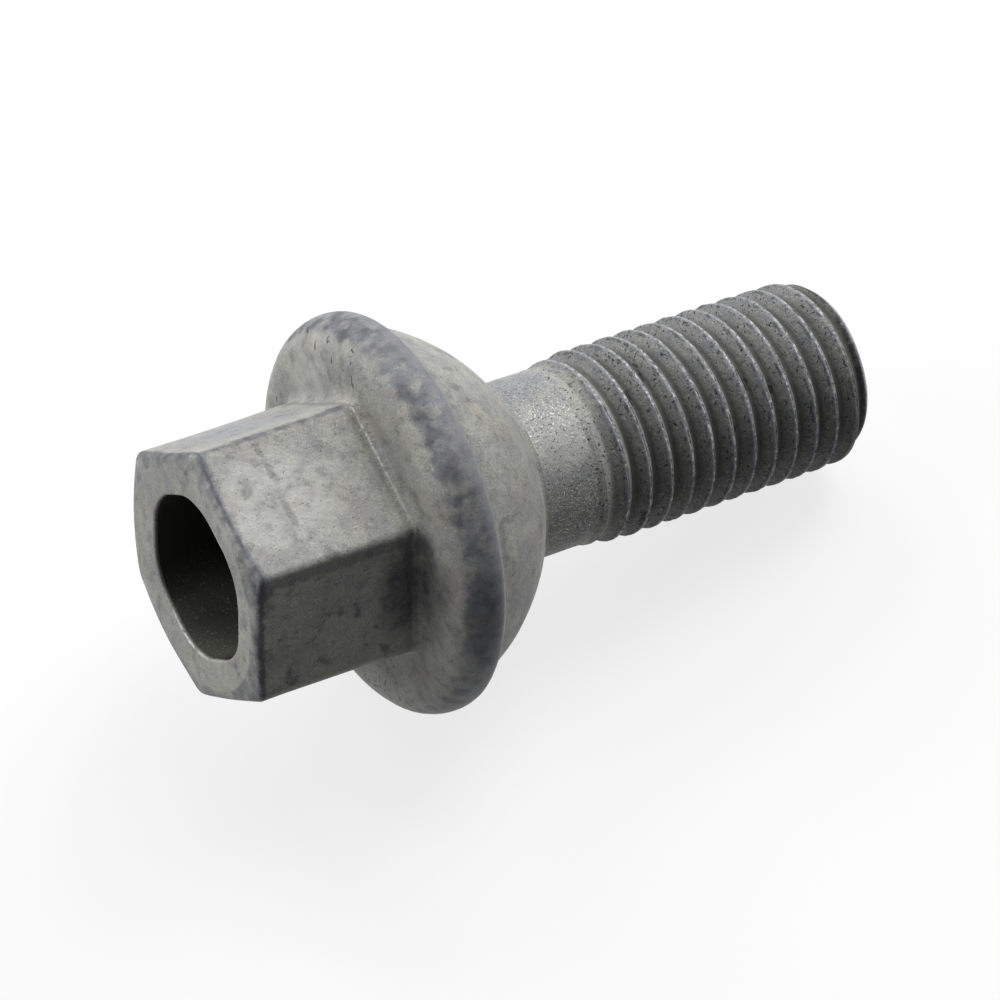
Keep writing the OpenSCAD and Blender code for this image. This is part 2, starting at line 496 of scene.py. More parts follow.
class Skin:
    """The bolt's points with how rubbed each one is and its painted shade and highlight, and its faces with
    their finishes.
    """

    def __init__(self):
        self.points = []
        self.wear_and_light = {"rubbed": [], "painted_shade": [], "polish_and_highlight": []}
        self.faces = []
        self.finishes = []

    def add_point(self, point):
        self.points.append(point)
        for values in self.wear_and_light.values():
            values.append(0.0)
        return len(self.points) - 1

    def add_row(self, radius, along, *wear_and_light):
        start = len(self.points)
        self.points.extend(zip(radius * cos(angles), radius * sin(angles), along))
        for values, added in zip(self.wear_and_light.values(), wear_and_light):
            values.extend(added)
        return np.arange(start, start + COLUMNS)

    def add_face(self, corners, finish):
        """Adds a face, without the corners that the clipping made the same."""
        kept = []
        for corner in corners:
            if corner not in kept:
                kept.append(int(corner))
        if len(kept) > 2:
            self.faces.append(kept)
            self.finishes.append(finish)

    def add_band(self, lower, upper, finish, closed=True):
        """The faces between two rows; a row on a helix isn't closed into a ring."""
        ends = COLUMNS if closed else COLUMNS - 1
        for column in range(ends):
            after = (column + 1) % COLUMNS
            self.add_face((lower[column], lower[after], upper[after], upper[column]), finish)

    def add_rings(self, rows, finish, start=None):
        """Rows joined one after another, from the ring that they start at; gives the last ring."""
        for values in rows:
            ring = self.add_row(*values)
            if start is not None:
                self.add_band(start, ring, finish)
            start = ring
        return start

    def add_cap(self, ring, along, finish, faces_head):
        """A flat round of faces from a ring to the axis, which faces the head's end or the tip's."""
        centre = self.add_point((0.0, 0.0, along))
        for column in range(COLUMNS):
            after = (column + 1) % COLUMNS
            edge = (ring[after], ring[column]) if faces_head else (ring[column], ring[after])
            self.add_face((centre, *edge), finish)

    def add_thread(self, start, first, last):
        """Helical rows, clipped by the ring that they start at and by a last ring, which it gives."""
        along, offset, per_turn = thread_rows(first, last)
        radius = thread_radius(along, offset)
        index = np.array([self.add_row(*row(*values)) for values in zip(radius, along)])
        edge = np.full(COLUMNS, last)
        end = self.add_row(*row(thread_radius(edge, crest_offset(edge)), edge))
        index = np.where(along < first + SNAP, start[None, :], index)
        index = np.where(along > last - SNAP, end[None, :], index)
        for count in range(len(index) - 1):
            self.add_band(index[count], index[count + 1], THREAD, closed=False)
            # Past the last column, the helix goes on in the first column of the next turn
            if count + 1 + per_turn < len(index):
                last_column = (index[count][-1], index[count + 1][-1])
                first_column = (index[count + per_turn][0], index[count + 1 + per_turn][0])
                self.add_face((last_column[0], *first_column, last_column[1]), THREAD)
        return end


def build_skin():
    """The whole skin: rings as far as the shank, helical rows over the thread, and rings at the tip."""
    skin = Skin()
    hollow = hollow_rows()
    first = skin.add_row(*hollow[0])
    skin.add_cap(first, END_FACE + HOLLOW_DEPTH, HOLLOW, faces_head=True)
    ring = skin.add_rings(hollow[1:], HOLLOW, first)
    ring = skin.add_rings(mouth_rows() + end_rows() + side_rows() + flange_rows(), HEAD, ring)
    ring = skin.add_rings(shank_rows(), SHANK, ring)
    ring = skin.add_thread(ring, RUN_OUT_START, TIP - TIP_EDGE_R / 2)
    ring = skin.add_rings(tip_rows(), THREAD, ring)
    skin.add_cap(ring, TIP, THREAD, faces_head=False)
    return skin


def off_centre(points):
    """The points with the hollow moved off the axis, and the end face round it drawn along."""
    radius = np.hypot(points[:, 0], points[:, 1])
    share = smooth_step((HOLLOW_SHIFT_END - radius) / HOLLOW_SHIFT_FADE) * (points[:, 2] < 0)
    moved = points.copy()
    moved[:, :2] += share[:, None] * np.array(HOLLOW_SHIFT)
    return moved


def forged_surface(points):
    """The points moved a little by smooth noise, as a forged surface is never quite true."""
    noise.seed_set(FORGED_SEED)
    moved = points.copy()
    for size, height in FORGED_WAVES:
        shift = [noise.noise_vector(Vector(point) / size) for point in points]
        moved += height * np.array(shift)
    return moved


def build_bolt(materials):
    """The bolt's object. Points that no face uses, where the helical rows were clipped, are left out."""
    skin = build_skin()
    used = np.unique(np.concatenate(skin.faces))
    number = np.full(len(skin.points), -1)
    number[used] = np.arange(len(used))
    points = off_centre(np.array(skin.points)[used])
    turn = np.array(bolt_placement())
    placed = forged_surface(points) @ turn[:3, :3].T + turn[:3, 3]
    placed = np.clip(placed, np.array(cad_low), np.array(cad_high))
    mesh = bpy.data.meshes.new("bolt_body")
    mesh.from_pydata(placed.tolist(), [], [[int(number[corner]) for corner in face] for face in skin.faces])
    place = mesh.attributes.new("bolt_place", "FLOAT_VECTOR", "POINT")
    place.data.foreach_set("vector", points.astype(np.float32).ravel())
    for name, values in skin.wear_and_light.items():
        attribute = mesh.attributes.new(name, "FLOAT", "POINT")
        attribute.data.foreach_set("value", np.array(values)[used].astype(np.float32))
    for material in materials:
        mesh.materials.append(material)
    mesh.polygons.foreach_set("material_index", np.array(skin.finishes, np.int32))
    mesh.shade_smooth()
    return add_object("bolt_body", mesh)


# Finishes: a pale olive-grey flake coat that has rubbed through to bluish metal on the edges
COAT = (0.41, 0.41, 0.375, 1)
PALE_GRAIN = (0.62, 0.62, 0.59, 1)
# A painted glint, for the edges of the thread's crests and of the tip
PAINTED_GLINT = (0.54, 0.55, 0.58, 1)
# A bluish tone in the coat, also used as painted shade and as a painted sheen
BLUE_TONE_AND_SHADE = (0.25, 0.258, 0.285, 1)
BURNISHED = (0.13, 0.136, 0.162, 1)
EDGE_BLUE = (0.07, 0.075, 0.1, 1)
BLUE_BLACK = (0.03, 0.032, 0.042, 1)
BROWN = (0.33, 0.29, 0.235, 1)
DARK_OLIVE = (0.15, 0.15, 0.125, 1)
DEEP_OLIVE = (0.045, 0.045, 0.036, 1)
# Painted shade: the hollow's inside is nearly black, for the darkness deep in it
HOLLOW_SHADE = (0.006, 0.0065, 0.004, 1)

# The coats' specular level, and the size of the grain and of the broad clouds in them
COAT_SHINE = 0.2
GRAIN_SIZE = 0.13
CLOUD_SIZE = 2.5
# The lumps of the noise that frays what is drawn on a coat, and how far it moves a place
RAGGED_SIZE = 0.4
RAGGED_SWING = 0.5


def add_node(tree, kind, values=None, **settings):
    """A shader node with its settings; each input gets a number, a colour or another node's output."""
    node = tree.nodes.new(kind)
    for name, value in settings.items():
        setattr(node, name, value)
    for socket, value in (values or {}).items():
        if isinstance(value, bpy.types.NodeSocket):
            tree.links.new(value, node.inputs[socket])
        else:
            node.inputs[socket].default_value = value
    return node


def calculate(tree, operation, *values):
    return add_node(tree, "ShaderNodeMath", dict(enumerate(values)), operation=operation).outputs[0]


def ramp(tree, value, start, end, first=0.0, last=1.0):
    """A smooth change from one value to another while the input goes from start to end."""
    values = {"Value": value, "From Min": start, "From Max": end, "To Min": first, "To Max": last}
    return add_node(tree, "ShaderNodeMapRange", values, interpolation_type="SMOOTHSTEP").outputs["Result"]


# The Mix node has its two numbers at the inputs 2 and 3, and its two colours at 6 and 7
def mix_numbers(tree, share, first, second):
    return add_node(tree, "ShaderNodeMix", {0: share, 2: first, 3: second}).outputs[0]


def mix_colours(tree, share, first, second):
    values = {0: share, 6: first, 7: second}
    return add_node(tree, "ShaderNodeMix", values, data_type="RGBA").outputs[2]


def vector_maths(tree, operation, first, second):
    """A node that works out something from two vectors."""
    return add_node(tree, "ShaderNodeVectorMath", {0: first, 1: second}, operation=operation)


def noise_of_size(tree, place, size, detail=2.0):
    """Noise from 0 to 1 with lumps of a size in millimetres."""
    scale = calculate(tree, "DIVIDE", 1.0, size)
    values = {"Vector": place, "Scale": scale, "Detail": detail}
    return add_node(tree, "ShaderNodeTexNoise", values).outputs["Fac"]


def new_group(name, inputs, outputs):
    """An empty node group with its sockets; gives the group and its input and output nodes."""
    group = bpy.data.node_groups.new(name, "ShaderNodeTree")
    for title, value in inputs.items():
        kind = "NodeSocketFloat"
        if isinstance(value, tuple):
            kind = "NodeSocketColor" if len(value) == 4 else "NodeSocketVector"
        socket = group.interface.new_socket(title, in_out="INPUT", socket_type=kind)
        socket.default_value = value
    for title, kind in outputs.items():
        group.interface.new_socket(title, in_out="OUTPUT", socket_type=kind)
    return group, group.nodes.new("NodeGroupInput"), group.nodes.new("NodeGroupOutput")


def mottle_group():
    """A colour made uneven by fine grain, by lumps and by broad clouds, and the height of the lumps."""
    inputs = {
        "Place": (0.0, 0.0, 0.0), "Colour": (0.4, 0.4, 0.4, 1.0),
        "Grain": 0.1, "Lumps": 0.1, "Clouds": 0.1, "Lump size": 0.4,
    }
    outputs = {"Colour": "NodeSocketColor", "Height": "NodeSocketFloat"}
    group, start, end = new_group("mottle", inputs, outputs)
    place = start.outputs["Place"]
    grain = noise_of_size(group, place, GRAIN_SIZE, 1)
    lumps = noise_of_size(group, place, start.outputs["Lump size"], 2)
    clouds = noise_of_size(group, place, CLOUD_SIZE, 3)
    level = 1.0
    for value, strength in ((grain, "Grain"), (lumps, "Lumps"), (clouds, "Clouds")):
        # The noise keeps near its middle, so that its swing is made larger
        change = calculate(group, "SUBTRACT", value, 0.5)
        swing = calculate(group, "MULTIPLY", start.outputs[strength], 8.0)
        level = calculate(group, "MULTIPLY_ADD", change, swing, level)
    values = {0: start.outputs["Colour"], "Scale": level}
    scaled = add_node(group, "ShaderNodeVectorMath", values, operation="SCALE")
    height = calculate(group, "MULTIPLY_ADD", grain, 0.25, lumps)
    group.links.new(scaled.outputs[0], end.inputs["Colour"])
    group.links.new(height, end.inputs["Height"])
    return group


def stain_group():
    """Cloudy patches or grains of a size, over about a share of the surface, with soft edges."""
    inputs = {
        "Place": (0.0, 0.0, 0.0), "Size": 2.0, "Share": 0.3,
        "Softness": 0.1, "Detail": 3.0, "Shift": 0.0,
    }
    group, start, end = new_group("stains", inputs, {"Mask": "NodeSocketFloat"})
    place = vector_maths(group, "ADD", start.outputs["Place"], start.outputs["Shift"]).outputs[0]
    cloud = noise_of_size(group, place, start.outputs["Size"], start.outputs["Detail"])
    # The noise is above this threshold on about the given share of the surface
    middle = calculate(group, "MULTIPLY_ADD", start.outputs["Share"], -0.44, 0.72)
    low = calculate(group, "SUBTRACT", middle, start.outputs["Softness"])
    high = calculate(group, "ADD", middle, start.outputs["Softness"])
    group.links.new(ramp(group, cloud, low, high), end.inputs["Mask"])
    return group


def rub_group():
    """Where handling has rubbed the coat: the given amount, broken up by grain and by scuffs."""
    inputs = {"Place": (0.0, 0.0, 0.0), "Rubbed": 0.0, "Break-up": 0.6, "Size": 0.8}
    group, start, end = new_group("rub", inputs, {"Mask": "NodeSocketFloat"})
    scuffs = noise_of_size(group, start.outputs["Place"], start.outputs["Size"], 5)
    change = calculate(group, "SUBTRACT", scuffs, 0.5)
    swing = calculate(group, "MULTIPLY", start.outputs["Break-up"], 4.0)
    uneven = calculate(group, "MULTIPLY_ADD", change, swing, start.outputs["Rubbed"])
    group.links.new(ramp(group, uneven, 0.1, 1.1), end.inputs["Mask"])
    return group


def mark_group():
    """A short mark along a line from one place to another, with soft sides."""
    inputs = {"Place": (0.0, 0.0, 0.0), "From": (0.0, 0.0, 0.0), "To": (0.0, 0.0, 1.0), "Width": 0.2}
    group, start, end = new_group("mark", inputs, {"Mask": "NodeSocketFloat"})
    line = vector_maths(group, "SUBTRACT", start.outputs["To"], start.outputs["From"]).outputs[0]
    here = vector_maths(group, "SUBTRACT", start.outputs["Place"], start.outputs["From"]).outputs[0]
    passed = vector_maths(group, "DOT_PRODUCT", here, line).outputs["Value"]
    length = vector_maths(group, "DOT_PRODUCT", line, line).outputs["Value"]
    share = calculate(group, "DIVIDE", passed, length)
    share = add_node(group, "ShaderNodeClamp", {"Value": share}).outputs[0]
    reach = add_node(group, "ShaderNodeVectorMath", {0: line, "Scale": share}, operation="SCALE").outputs[0]
    away = vector_maths(group, "SUBTRACT", here, reach).outputs[0]
    distance = add_node(group, "ShaderNodeVectorMath", {0: away}, operation="LENGTH").outputs[1]
    inner = calculate(group, "MULTIPLY", start.outputs["Width"], 0.25)
    outer = calculate(group, "MULTIPLY", start.outputs["Width"], 0.75)
    group.links.new(ramp(group, distance, inner, outer, 1, 0), end.inputs["Mask"])
    return group


def patch_group():
    """A soft oval patch round a place, as wide as its radii along the three axes."""
    inputs = {"Place": (0.0, 0.0, 0.0), "Centre": (0.0, 0.0, 0.0), "Radii": (1.0, 1.0, 1.0)}
    group, start, end = new_group("patch", inputs, {"Mask": "NodeSocketFloat"})
    away = vector_maths(group, "SUBTRACT", start.outputs["Place"], start.outputs["Centre"]).outputs[0]
    scaled = vector_maths(group, "DIVIDE", away, start.outputs["Radii"]).outputs[0]
    distance = add_node(group, "ShaderNodeVectorMath", {0: scaled}, operation="LENGTH").outputs[1]
    group.links.new(ramp(group, distance, 0.35, 1.1, 1, 0), end.inputs["Mask"])
    return group


class Finish:
    """A material in the making, which one effect after another changes."""

    def __init__(self, name, roughness=0.5):
        self.material = bpy.data.materials.new(name)
        self.material.use_nodes = True
        self.tree = self.material.node_tree
        self.shader = self.tree.nodes["Principled BSDF"]
        self.shader.inputs["Specular IOR Level"].default_value = COAT_SHINE
        self.place = self.attribute("bolt_place", output="Vector")
        self.ragged = self.ragged_place()
        self.colour = None
        self.metallic = 0.0
        self.roughness = roughness
        self.height = 0.0

    def attribute(self, name, output="Fac"):
        """One of the values that the mesh holds for each of its points."""
        return add_node(self.tree, "ShaderNodeAttribute", attribute_name=name).outputs[output]

    def ragged_place(self):
        """The place moved by noise, so that what is drawn at it has ragged edges."""
        values = {"Vector": self.place, "Scale": 1 / RAGGED_SIZE, "Detail": 4.0}
        wave = add_node(self.tree, "ShaderNodeTexNoise", values).outputs["Color"]
        values = {0: wave, 1: [RAGGED_SWING] * 3, 2: [-RAGGED_SWING / 2] * 3}
        shift = add_node(self.tree, "ShaderNodeVectorMath", values, operation="MULTIPLY_ADD").outputs[0]
        return vector_maths(self.tree, "ADD", self.place, shift).outputs[0]

    def effect(self, group, ragged=False, **values):
        """Places an effect's group; the words of its sockets' names are joined with underscores."""
        node = add_node(self.tree, "ShaderNodeGroup", node_tree=group)
        self.tree.links.new(self.ragged if ragged else self.place, node.inputs["Place"])
        for name, value in values.items():
            socket = node.inputs[name.replace("_", " ")]
            if isinstance(value, bpy.types.NodeSocket):
                self.tree.links.new(value, socket)
            else:
                socket.default_value = value
        return node

    def mottle(self, colour, **values):
        node = self.effect(mottle, Colour=colour, **values)
        self.colour = node.outputs["Colour"]
        self.height = node.outputs["Height"]

    def past_crest(self, place):
        """How far a place lies past the nearest crest of the thread, and its place along the axis."""
        parts = add_node(self.tree, "ShaderNodeSeparateXYZ", {0: place}).outputs
        angle = calculate(self.tree, "ARCTAN2", parts["Y"], parts["X"])
        turn = calculate(self.tree, "DIVIDE", angle, 2 * math.pi)
        from_start = calculate(self.tree, "SUBTRACT", parts["Z"], CREST_AT)
        pitches = calculate(self.tree, "DIVIDE", from_start, PITCH)
        share = calculate(self.tree, "ADD", calculate(self.tree, "SUBTRACT", pitches, turn), 0.5)
        offset = calculate(self.tree, "SUBTRACT", calculate(self.tree, "FRACT", share), 0.5)
        return calculate(self.tree, "MULTIPLY", offset, PITCH), parts["Z"]

    def band(self, value, middle, inner, outer):
        """A soft band round a middle value: full within the inner distance, and nothing past the outer."""
        away = calculate(self.tree, "ABSOLUTE", calculate(self.tree, "SUBTRACT", value, middle))
        return ramp(self.tree, away, inner, outer, 1, 0)

    def painted_rim_sheen(self):
        """The rim's back edge, where it turns towards the ball seat, which gets a painted bluish sheen."""
        parts = add_node(self.tree, "ShaderNodeSeparateXYZ", {0: self.ragged}).outputs
        flat = add_node(self.tree, "ShaderNodeCombineXYZ", {"X": parts["X"], "Y": parts["Y"]}).outputs[0]
        radius = add_node(self.tree, "ShaderNodeVectorMath", {0: flat}, operation="LENGTH").outputs["Value"]
        behind = ramp(self.tree, parts["Z"], *RIM_PAINTED_SHEEN_ALONG)
        return self.times(behind, ramp(self.tree, radius, *RIM_PAINTED_SHEEN_RADII))

    def patch(self, centre, radii):
        return self.effect(patch, ragged=True, Centre=centre, Radii=radii).outputs["Mask"]

    def patches(self, places):
        """Tints broad patches, each given by its middle, its radii, its colour and its strength."""
        for centre, radii, colour, strength in places:
            self.tint(self.patch(centre, radii), colour, strength)

    def times(self, mask, strength):
        return calculate(self.tree, "MULTIPLY", mask, strength)

    def tint(self, mask, colour, strength=1.0, metallic=None, roughness=None, height=None):
        """Mixes in a colour where the mask is, with its own metal and roughness, and raises or sinks it."""
        share = self.times(mask, strength)
        self.colour = mix_colours(self.tree, share, self.colour, colour)
        if metallic is not None:
            self.metallic = mix_numbers(self.tree, share, self.metallic, metallic)
        if roughness is not None:
            self.roughness = mix_numbers(self.tree, share, self.roughness, roughness)
        if height is not None:
            self.height = calculate(self.tree, "MULTIPLY_ADD", share, height, self.height)

    def marks(self, places, width, colour, strength=1.0, height=-1.0):
        """Tints a number of short marks, each given by its two ends."""
        together = 0.0
        for first, last in places:
            one = self.effect(mark, ragged=True, From=first, To=last, Width=width).outputs["Mask"]
            together = calculate(self.tree, "MAXIMUM", together, one)
        self.tint(together, colour, strength, height=height)

    def stains(self, colour, strength, metallic=None, roughness=None, height=None, within=None, **values):
        """Tints cloudy patches or grains, everywhere or only within another mask."""
        mask = self.effect(stains, **values).outputs["Mask"]
        if within is not None:
            mask = self.times(mask, within)
        self.tint(mask, colour, strength, metallic, roughness, height)

    def finish(self, bump):
        """Joins everything to the shader, with the bump's height in millimetres."""
        results = {"Base Color": self.colour, "Metallic": self.metallic, "Roughness": self.roughness}
        for name, value in results.items():
            if isinstance(value, bpy.types.NodeSocket):
                self.tree.links.new(value, self.shader.inputs[name])
            else:
                self.shader.inputs[name].default_value = value
        raised = add_node(self.tree, "ShaderNodeBump", {"Height": self.height, "Distance": bump * MM})
        self.tree.links.new(raised.outputs["Normal"], self.shader.inputs["Normal"])
        return self.material


mottle = mottle_group()
stains = stain_group()
rub = rub_group()
mark = mark_group()
patch = patch_group()

# Nicks in the flange's face, each from one end to the other
FLANGE_NICKS = (
    ((-7.9, 7.8, 1.1), (-7.6, 7.5, 1.0)),
    ((-9.1, 6.9, 1.3), (-9.0, 6.7, 1.2)),
    ((-10.1, 4.4, 1.1), (-10.0, 4.0, 1.0)),
    ((-9.3, 3.6, 1.0), (-8.8, 3.2, 1.0)),
    ((-10.5, 4.6, 1.4), (-10.6, 4.3, 1.3)),
    ((-2.9, 9.3, 0.9), (-2.5, 9.3, 0.9)),
    ((-0.7, 9.9, 0.9), (-0.2, 9.8, 0.9)),
    ((-7.1, 9.4, 1.7), (-7.2, 9.0, 1.4)),
    ((-8.6, 5.7, 1.0), (-8.3, 5.7, 1.0)),
)

# Scuffs on the hexagon's lit side
SIDE_SCUFFS = (
    ((-8.1, 1.9, -6.0), (-7.9, 1.3, -5.9)),
    ((-7.7, 0.5, -5.8), (-7.6, 0.0, -5.9)),
    ((-7.2, -1.8, -6.0), (-7.1, -2.6, -6.0)),
    ((-7.1, -2.6, -6.0), (-6.9, -3.2, -5.9)),
)

# A dark line on the shaded side, just behind the end face's edge
END_EDGE_DARK_LINE = (((-6.1, -5.8, -9.4), (-2.3, -7.1, -9.5)), ((-2.3, -7.1, -9.5), (1.5, -8.3, -9.4)))

# A dark line of painted shade on the shaded side, just under its upper corner
CORNER_PAINTED_SHADE = (((-5.8, -5.9, -8.8), (-5.8, -5.95, -0.6)),)

# The shaded side of the hexagon, and the specked part of the flange: a middle and radii
SHADED_SIDE = ((0.0, -7.4, -5.0), (8.0, 3.0, 8.0))
SPECKED_FLANGE = ((8.0, -6.5, 1.0), (4.0, 4.5, 2.0))

# The painted bluish sheen on the rim's back edge, which also dims the highlight there, comes in between
# these places along the axis, and these radii
RIM_PAINTED_SHEEN_ALONG = (2.9, 3.4)
RIM_PAINTED_SHEEN_RADII = (11.55, 11.75)

# Broad patches on the head and on the shank: their middles, radii, colours and how strong they are. Most
# are painted light and shade: the pale ones on the flange's top, the ball seat's lowest part and the
# shank's middle are painted light, and the blue ones on the hexagon's top side and the shank's top are
# painted shade
HEAD_PATCHES = (
    ((-7.3, -1.6, -7.0), (2.0, 5.0, 6.0), PALE_GRAIN, 0.75),
    ((-5.0, 5.5, -5.0), (3.5, 3.5, 6.0), BLUE_TONE_AND_SHADE, 0.78),
    ((-5.5, 7.5, 0.8), (4.5, 3.0, 2.0), PALE_GRAIN, 0.55),
    ((-2.0, -10.8, 4.8), (3.5, 2.0, 2.0), PALE_GRAIN, 0.8),
    ((7.5, -7.5, 1.0), (4.0, 4.0, 2.0), PALE_GRAIN, 0.35),
)
SHANK_PATCHES = (
    ((-4.5, 2.8, 12.0), (3.0, 3.0, 4.0), BLUE_TONE_AND_SHADE, 0.6),
    ((-5.0, -2.3, 12.5), (2.5, 3.0, 3.5), PALE_GRAIN, 0.45),
)

# Dark cloudy patches on the head, partly painted shade on the hexagon's shaded side, at its foot and on the
# rim's lower part, and partly smudges: their middles, their radii and how strong they are
HEAD_SHADE_AND_SMUDGES = (
    ((-5.4, -6.5, 0.3), (1.6, 1.9, 1.3), 0.9),
    ((-4.2, -8.4, 1.0), (2.4, 2.2, 0.8), 0.45),
    ((-2.7, -7.0, -0.1), (4.5, 1.8, 2.2), 1.0),
    ((-5.2, -5.9, -9.3), (0.9, 0.8, 0.8), 0.7),
    ((-4.2, -11.4, 2.4), (4.5, 2.5, 1.5), 0.6),
)

# Soft bands on the thread: their middle past the crest, how far they are full, and where they end. The
# first is painted shade in the thread's roots
PAINTED_ROOT_SHADE = (0.07, 0.42, 0.7)
WORN_FLANK = (-0.2, 0.12, 0.45)
CREST_BLUE_BAND = (-0.01, 0.1, 0.2)
# The same for the dark end of the thread, along the axis
DARK_END = (33.2, 0.4, 0.8)
# Painted light on the lit part of the thread's roots, and on the part of the hollow's wall that light
# reaches: a middle and radii
PAINTED_LIGHT_ON_ROOTS = ((-3.0, 5.5, 25.0), (5.0, 5.0, 14.0))
PAINTED_LIGHT_ON_WALL = ((5.0, -1.0, -7.0), (4.5, 5.5, 6.0))

# Gouges in the thread's crests
THREAD_GOUGES = (
    ((-5.1, -0.5, 18.3), (-4.9, -1.4, 18.3)),
    ((-5.2, 1.0, 19.9), (-5.1, -0.3, 19.7)),
    ((-5.5, 1.7, 20.0), (-5.2, 2.5, 20.1)),
    ((-4.9, -1.5, 25.8), (-4.4, -2.7, 25.9)),
    ((-4.4, -2.6, 27.4), (-4.1, -3.1, 27.4)),
    ((-5.3, -0.3, 27.4), (-5.3, -0.6, 27.4)),
    ((-3.1, -4.0, 24.4), (-2.9, -4.2, 24.4)),
    ((-4.0, -4.1, 27.9), (-3.9, -4.2, 27.9)),
    ((-0.1, -5.7, 17.7), (1.2, -5.6, 17.8)),
)

# Lines along the thread's crests: the distance past the crest, the half width, the colour and its
# strength, and the size and the share of the pieces that they are broken into. The pale lines are partly
# bare metal on the crests' worn edges and partly painted glints
CREST_LINES = (
    (-0.16, 0.09, BLUE_BLACK, 0.65, 0.55, 0.42),
    (0.04, 0.1, PAINTED_GLINT, 0.85, 0.25, 0.4),
    (0.1, 0.05, BLUE_BLACK, 0.8, 0.35, 0.4),
    (0.18, 0.08, PAINTED_GLINT, 0.85, 0.16, 0.42),
    (0.28, 0.12, BLUE_BLACK, 0.8, 0.22, 0.38),
)

# Rings on the chamfer at the tip: the place along the axis, the half width, the colour and its strength;
# the pale ring is a painted glint on the tip's edge
TIP_RINGS = (
    (32.95, 0.2, BLUE_BLACK, 0.5),
    (33.7, 0.25, BLUE_BLACK, 0.95),
    (34.04, 0.12, PAINTED_GLINT, 0.7),
)


def head_coat():
    coat = Finish("head_coat")
    rubbed = coat.attribute("rubbed")
    coat.mottle(COAT, Grain=0.1, Lumps=0.06, Clouds=0.05, Lump_size=0.4)
    # Broad patches, most of them painted light and shade
    coat.patches(HEAD_PATCHES)
    coat.stains(BLUE_TONE_AND_SHADE, 0.5, Size=1.5, Share=0.4, Softness=0.14)
    coat.stains(BROWN, 0.3, Size=2.4, Share=0.35, Softness=0.12, Shift=20.0)
    cloudy = calculate(coat.tree, "MULTIPLY_ADD", coat.patch(*SHADED_SIDE), 1.2, 1.0)
    coat.stains(BLUE_BLACK, 0.35, within=cloudy, Size=1.0, Share=0.24, Softness=0.1, Shift=40.0)
    # Painted shade: darker in the recesses, at the hexagon's foot, where the rim meets the ball seat, in
    # the crease and at the neck
    coat.tint(coat.attribute("painted_shade"), DARK_OLIVE, 0.55)
    coat.stains(PALE_GRAIN, 0.45, metallic=0.2, Size=0.11, Share=0.14, Softness=0.06, Detail=1.0)
    worn = coat.effect(rub, Rubbed=rubbed).outputs["Mask"]
    coat.tint(worn, BURNISHED, 0.75, metallic=0.15, height=-0.5)
    coat.stains(BLUE_BLACK, 0.55, within=worn, Size=1.1, Share=0.35, Softness=0.14, Shift=80.0)
    edge = ramp(coat.tree, rubbed, 0.85, 1.0)
    coat.stains(EDGE_BLUE, 0.65, within=edge, Size=0.6, Share=0.55, Softness=0.1, Shift=90.0)
    # Polish and painted highlights: on one side of the hollow's lip, on the foot's ridge and along the
    # rim's back edge
    coat.stains(
        PALE_GRAIN, 0.9, metallic=0.4, within=coat.attribute("polish_and_highlight"),
        Size=0.3, Share=0.6, Softness=0.1,
    )
    coat.stains(BLUE_BLACK, 0.4, height=-1, Size=0.16, Share=0.02, Softness=0.05, Detail=1.0, Shift=60.0)
    # A painted bluish sheen on the rim's back edge, which dims its highlight
    coat.tint(coat.painted_rim_sheen(), BLUE_TONE_AND_SHADE, 0.6)
    coat.marks(FLANGE_NICKS, 0.18, BLUE_BLACK, 0.8)
    coat.marks(SIDE_SCUFFS, 0.4, BLUE_BLACK, 0.35)
    coat.marks(END_EDGE_DARK_LINE, 0.3, BLUE_BLACK, 0.8)
    coat.marks(CORNER_PAINTED_SHADE, 0.8, BLUE_BLACK, 0.5)
    # Dark patches, partly painted shade and partly smudges
    shade_and_smudges = 0.0
    for centre, radii, strength in HEAD_SHADE_AND_SMUDGES:
        dark_patch = coat.times(coat.patch(centre, radii), strength)
        shade_and_smudges = calculate(coat.tree, "MAXIMUM", shade_and_smudges, dark_patch)
    coat.tint(shade_and_smudges, BLUE_BLACK, 0.75)
    coat.stains(BLUE_BLACK, 0.7, within=shade_and_smudges, Size=0.6, Share=0.4, Softness=0.14, Shift=110.0)
    coat.stains(
        BLUE_BLACK, 0.85, height=-1, within=coat.patch(*SPECKED_FLANGE),
        Size=0.3, Share=0.2, Softness=0.06, Shift=130.0,
    )
    return coat.finish(bump=0.04)


def shank_coat():
    coat = Finish("shank_coat")
    coat.mottle(COAT, Grain=0.1, Lumps=0.06, Clouds=0.03, Lump_size=0.3)
    coat.stains(BLUE_TONE_AND_SHADE, 0.7, Size=1.2, Share=0.5, Softness=0.14)
    # Painted shade on the shank's top and a painted highlight on its middle
    coat.patches(SHANK_PATCHES)
    coat.stains(
        PALE_GRAIN, 0.8, metallic=0.4, roughness=0.38,
        Size=0.1, Share=0.18, Softness=0.07, Detail=1.0,
    )
    coat.stains(BLUE_BLACK, 0.5, height=-1.5, Size=0.16, Share=0.12, Softness=0.06, Detail=1.0, Shift=60.0)
    return coat.finish(bump=0.04)


